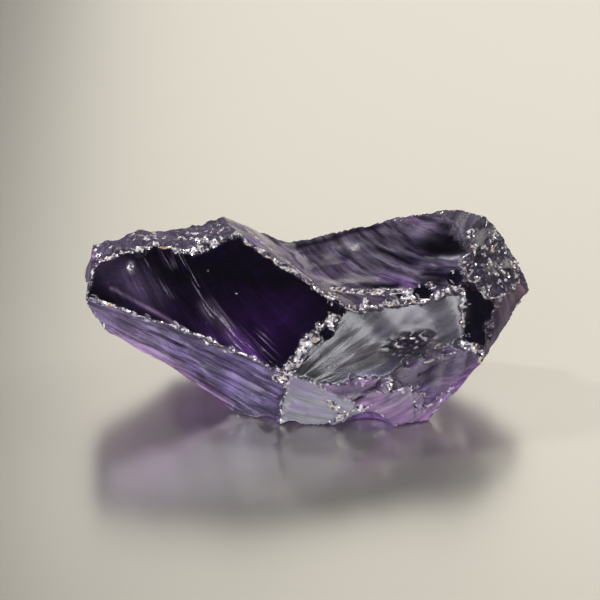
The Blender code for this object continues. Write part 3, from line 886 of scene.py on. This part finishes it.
# The same with the stone's index, and the place in millimetres.
def quartzMaterial(name):
    material, tree, shader = newMaterial(name)
    shader.inputs["IOR"].default_value = stone["indexOfQuartz"]
    where = addNode(tree, "ShaderNodeTexCoord").outputs["Object"]
    return material, tree, shader, scaled(tree, where, (1 / mm, 1 / mm, 1 / mm))


# A bump whose height of 1 is `depth` millimetres.
def putBump(tree, shader, height, depth):
    bump = addNode(tree, "ShaderNodeBump")
    bump.inputs["Strength"].default_value = 1.0
    bump.inputs["Distance"].default_value = depth * mm
    tree.links.new(height, bump.inputs["Height"])
    tree.links.new(bump.outputs["Normal"], shader.inputs["Normal"])


# Clear violet quartz. The skin, with its painted light and shade, is multiplied by veins, clouds
# and plates, some plates painted brighter as glints, and grains painted as pale golden glints, dark
# lines, hairlines painted pale as highlights and crumbs, the pale ones painted glints, are mixed over
# it. Veins, plates, hairlines and crumbs are bumps as well.
def amethystMaterial():
    material, tree, shader, inMm = quartzMaterial("amethyst")
    shader.inputs["Metallic"].default_value = 0.0
    shader.inputs["Transmission Weight"].default_value = stone["transmission"]
    bruiseMask = attributeNode(tree, "bruise", "Fac")
    streakPlace = attributeNode(tree, "streaks", "Vector")
    crumb, coarseCrumb = (crumbNode(tree, inMm, fineness) for fineness in stone["crumbsPerMm"])

    # veins along each scar, and soft clouds inside the stone
    streakNoise = noiseNode(tree, scaled(tree, streakPlace, (1.7, 0.17, 1.0)), 1.0, 4.0, 0.62, 0.3)
    fineStreaks = noiseNode(tree, scaled(tree, streakPlace, (9.0, 0.7, 1.0)), 1.0, 2.0, 0.5)
    cloud = noiseNode(tree, inMm, 0.32, 3.0, 0.5, 0.6)
    streakShade = rangeNode(tree, streakNoise, 0.34, 0.68, 0.5, 1.5)
    cloudShade = rangeNode(tree, cloud, 0.35, 0.68, 0.72, 1.28)
    fineShade = rangeNode(tree, fineStreaks, 0.35, 0.7, 0.96, 1.05)
    shade = product(tree, product(tree, streakShade, cloudShade), fineShade)
    veinShare = attributeNode(tree, "veins", "Fac")
    shade = productPlus(tree, mathNode(tree, "SUBTRACT", shade, 1.0), veinShare, 1.0)
    shadeColour = addNode(tree, "ShaderNodeCombineColor")
    putInputs(tree, shadeColour.inputs, (shade, shade, shade))
    skinColour = attributeNode(tree, "skin", "Color")
    body = mixColour(tree, 1.0, skinColour, shadeColour.outputs[0], "MULTIPLY")

    # long flat plates along the veins, as glass breaks; those that Glints picks are painted a quarter
    # brighter as glints
    plates = crumbNode(tree, scaled(tree, streakPlace, (0.75, 0.16, 1.0)), 1.0)
    plateLight = product(tree, plates["Glints"], 0.5)
    brighter = mixColour(tree, 1.0, body, (1.5, 1.5, 1.5, 1.0), "MULTIPLY")
    body = mixColour(tree, plateLight, body, brighter)

    # sparse bright grains, painted glints
    grain = crumbNode(tree, inMm, 0.8)
    glintGrains = product(tree, rangeNode(tree, grain["Crumbs"], 0.065, 0.045), grain["Glints"])
    body = mixColour(tree, glintGrains, body, (0.85, 0.78, 0.66, 1.0))

    # fine dark lines along the veins, and pale ones where the hairlines are: painted highlights
    hairNoise = noiseNode(tree, scaled(tree, streakPlace, (3.6, 0.22, 1.0)), 1.0, 2.0, 0.6, 0.5)
    lines = rangeNode(tree, hairNoise, 0.5, 0.66)
    darkLines = rangeNode(tree, hairNoise, 0.38, 0.32)
    darkLines = product(tree, product(tree, darkLines, 0.55), veinShare)
    body = mixColour(tree, darkLines, body, (0.03, 0.02, 0.05, 1.0))
    lines = product(tree, lines, attributeNode(tree, "hairHighlights", "Fac"))
    body = mixColour(tree, lines, body, (0.42, 0.36, 0.44, 1.0))

    # see-through crumbs on the bruised ridges, in patches; the crumbs that Glints picks are painted
    # pale as glints
    patchy = rangeNode(tree, noiseNode(tree, inMm, 1.4, 3.0), 0.4, 0.62)
    white = product(tree, bruiseMask, productPlus(tree, patchy, 0.5, 0.2))
    crumbColour = mixColour(tree, crumb["Glints"], (0.16, 0.11, 0.2, 1), (0.9, 0.86, 0.92, 1))
    tree.links.new(mixColour(tree, white, body, crumbColour), shader.inputs["Base Color"])

    # bruises are rougher
    roughness = productPlus(tree, bruiseMask, 0.22, attributeNode(tree, "satin", "Fac"))
    tree.links.new(roughness, shader.inputs["Roughness"])

    # the height of crumbs, veins, plates and hairlines
    facets = productPlus(tree, crumb["Facets"], 2.0, crumb["Crumbs"])
    heightCrumbs = product(tree, facets, bruiseMask)
    heightCoarse = product(tree, coarseCrumb["Crumbs"], bruiseMask)
    height = productPlus(tree, heightCoarse, 1.6, heightCrumbs)
    height = productPlus(tree, streakNoise, 0.1, height)
    height = productPlus(tree, plates["Crumbs"], 0.45, height)
    height = productPlus(tree, lines, 0.35, height)
    putBump(tree, shader, height, stone["bumpDepth"])

    absorb = addNode(tree, "ShaderNodeVolumeAbsorption")
    absorb.inputs["Color"].default_value = stone["absorbColour"]
    absorb.inputs["Density"].default_value = stone["absorbDensity"]
    tree.links.new(absorb.outputs[0], tree.nodes["Material Output"].inputs["Volume"])
    return material


# Crushed quartz: opaque, nearly white to dark lilac with a few golden grains, which are painted
# glints, and the crumbs that catch the light glitter as metal does.
def crushedMaterial():
    material, tree, shader, inMm = quartzMaterial("crushed_quartz")
    shader.inputs["Roughness"].default_value = stone["crushedRoughness"]
    crumb = crumbNode(tree, inMm, stone["crushedPerMm"])
    tone = rangeNode(tree, noiseNode(tree, inMm, 2.6, 3.0), 0.42, 0.6)
    grey = mixColour(tree, tone, (0.06, 0.04, 0.08, 1), (0.95, 0.89, 0.92, 1))
    bright = mixColour(tree, crumb["Glints"], grey, (1.0, 0.98, 0.95, 1))
    goldGlints = rangeNode(tree, noiseNode(tree, inMm, 1.6, 2.0), 0.62, 0.68)
    tree.links.new(mixColour(tree, goldGlints, bright, (0.75, 0.52, 0.28, 1)), shader.inputs["Base Color"])
    tree.links.new(product(tree, crumb["Glints"], 0.75), shader.inputs["Metallic"])
    height = productPlus(tree, crumb["Facets"], 2.5, crumb["Crumbs"])
    putBump(tree, shader, height, stone["crushedBumpDepth"])
    return material


amethystPiece.data.materials.append(amethystMaterial())
amethystPiece.data.materials.append(crushedMaterial())
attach(amethystPiece, "root")
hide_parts("rough_amethyst")
print("stone finished")

# The floor and the light. Lengths are in metres. Each light has its bearing, height above level,
# distance, size, power and colour.
studio = {
    "floorHalf": 1.5,            # half the floor's side
    "floorColour": (0.58, 0.565, 0.515, 1.0),
    "floorMetallic": 0.68,       # with the roughness, how much the floor mirrors the stone
    "floorRoughness": 0.24,
    "floorDrop": 0.05 * mm,      # keeps the floor just clear of the rest face
    "worldColour": (0.8, 0.8, 0.84, 1.0),
    "worldStrength": 0.12,
    "lights": {
        "backPanel": (22, 27, 0.9, (0.9, 0.55), 1.9, (1.0, 0.965, 0.9)),
        "rightLamp": (62, 42, 0.2, (0.12, 0.09), 0.11, (1.0, 0.97, 0.92)),
        "frontCard": (142, 10, 0.5, (0.16, 0.14), 0.62, (0.96, 0.96, 1.0)),
        "lowPanel": (228, 10, 0.45, (0.5, 0.16), 1.75, (0.97, 0.97, 1.0)),
        "sparkle": (300, 45, 0.5, (0.05, 0.05), 1.0, (1.0, 0.98, 0.95)),
    },
}


# A plain square floor just under the stone.
def floorPiece():
    half, drop = studio["floorHalf"], studio["floorDrop"]
    corners = [(-half, -half, -drop), (half, -half, -drop), (half, half, -drop), (-half, half, -drop)]
    mesh = bpy.data.meshes.new("floor")
    mesh.from_pydata(corners, [], [(0, 1, 2, 3)])
    material, _, shader = newMaterial("paleFloor")
    shader.inputs["Base Color"].default_value = studio["floorColour"]
    shader.inputs["Metallic"].default_value = studio["floorMetallic"]
    shader.inputs["Roughness"].default_value = studio["floorRoughness"]
    mesh.materials.append(material)
    addObject("floor", mesh)


# A soft rectangular light at a bearing (0 is behind the stone, clockwise seen from above,
# 180 the camera's side) and a height above level, both in degrees, facing the stone.
def softLight(name, bearing, height, distance, size, power, colour):
    data = bpy.data.lights.new(name, "AREA")
    data.shape = "RECTANGLE"
    data.size, data.size_y = size
    data.energy = power
    data.color = colour
    light = addObject(name, data)
    b, h = math.radians(bearing), math.radians(height)
    away = np.array((math.sin(b) * math.cos(h), math.cos(b) * math.cos(h), math.sin(h)))
    light.location = away * distance
    side = np.cross((0, 0, 1.0), away)
    side /= norm(side)
    turn = np.column_stack([side, np.cross(away, side), away])
    light.rotation_mode = "QUATERNION"
    light.rotation_quaternion = Matrix(turn.tolist()).to_quaternion()


floorPiece()
for name, values in studio["lights"].items():
    softLight(name, *values)

world = bpy.data.worlds.new("studio")
scene.world = world
world.use_nodes = True
background = world.node_tree.nodes["Background"].inputs
background["Color"].default_value = studio["worldColour"]
background["Strength"].default_value = studio["worldStrength"]

# The view: millimetres for the place that the camera aims at, its distance and its lens, degrees
# for how far above level it is, and how the picture is brightened.
view = {
    "aim": (-0.8, -1.6, 10.2), "above": 30.0, "distance": 240.0, "lens": 162.0,
    "exposure": 0.2, "gamma": 0.89,
}


# The camera looks down from straight in front: back from its aim by its distance.
def cameraPiece():
    data = bpy.data.cameras.new("camera")
    data.sensor_width = 36.0
    data.lens = view["lens"]
    data.clip_start = 0.005
    data.clip_end = 10.0
    camera = addObject("camera", data)
    above = math.radians(view["above"])
    back = np.array((0.0, -math.cos(above), math.sin(above)))
    camera.location = (np.array(view["aim"]) + back * view["distance"]) * mm
    camera.rotation_euler = (math.pi / 2 - above, 0.0, 0.0)
    scene.camera = camera


cameraPiece()
scene.view_settings.view_transform = "Standard"
scene.view_settings.exposure = view["exposure"]
scene.view_settings.gamma = view["gamma"]
scene.cycles.use_denoising = True
scene.cycles.transmission_bounces = 14
scene.cycles.max_bounces = 18
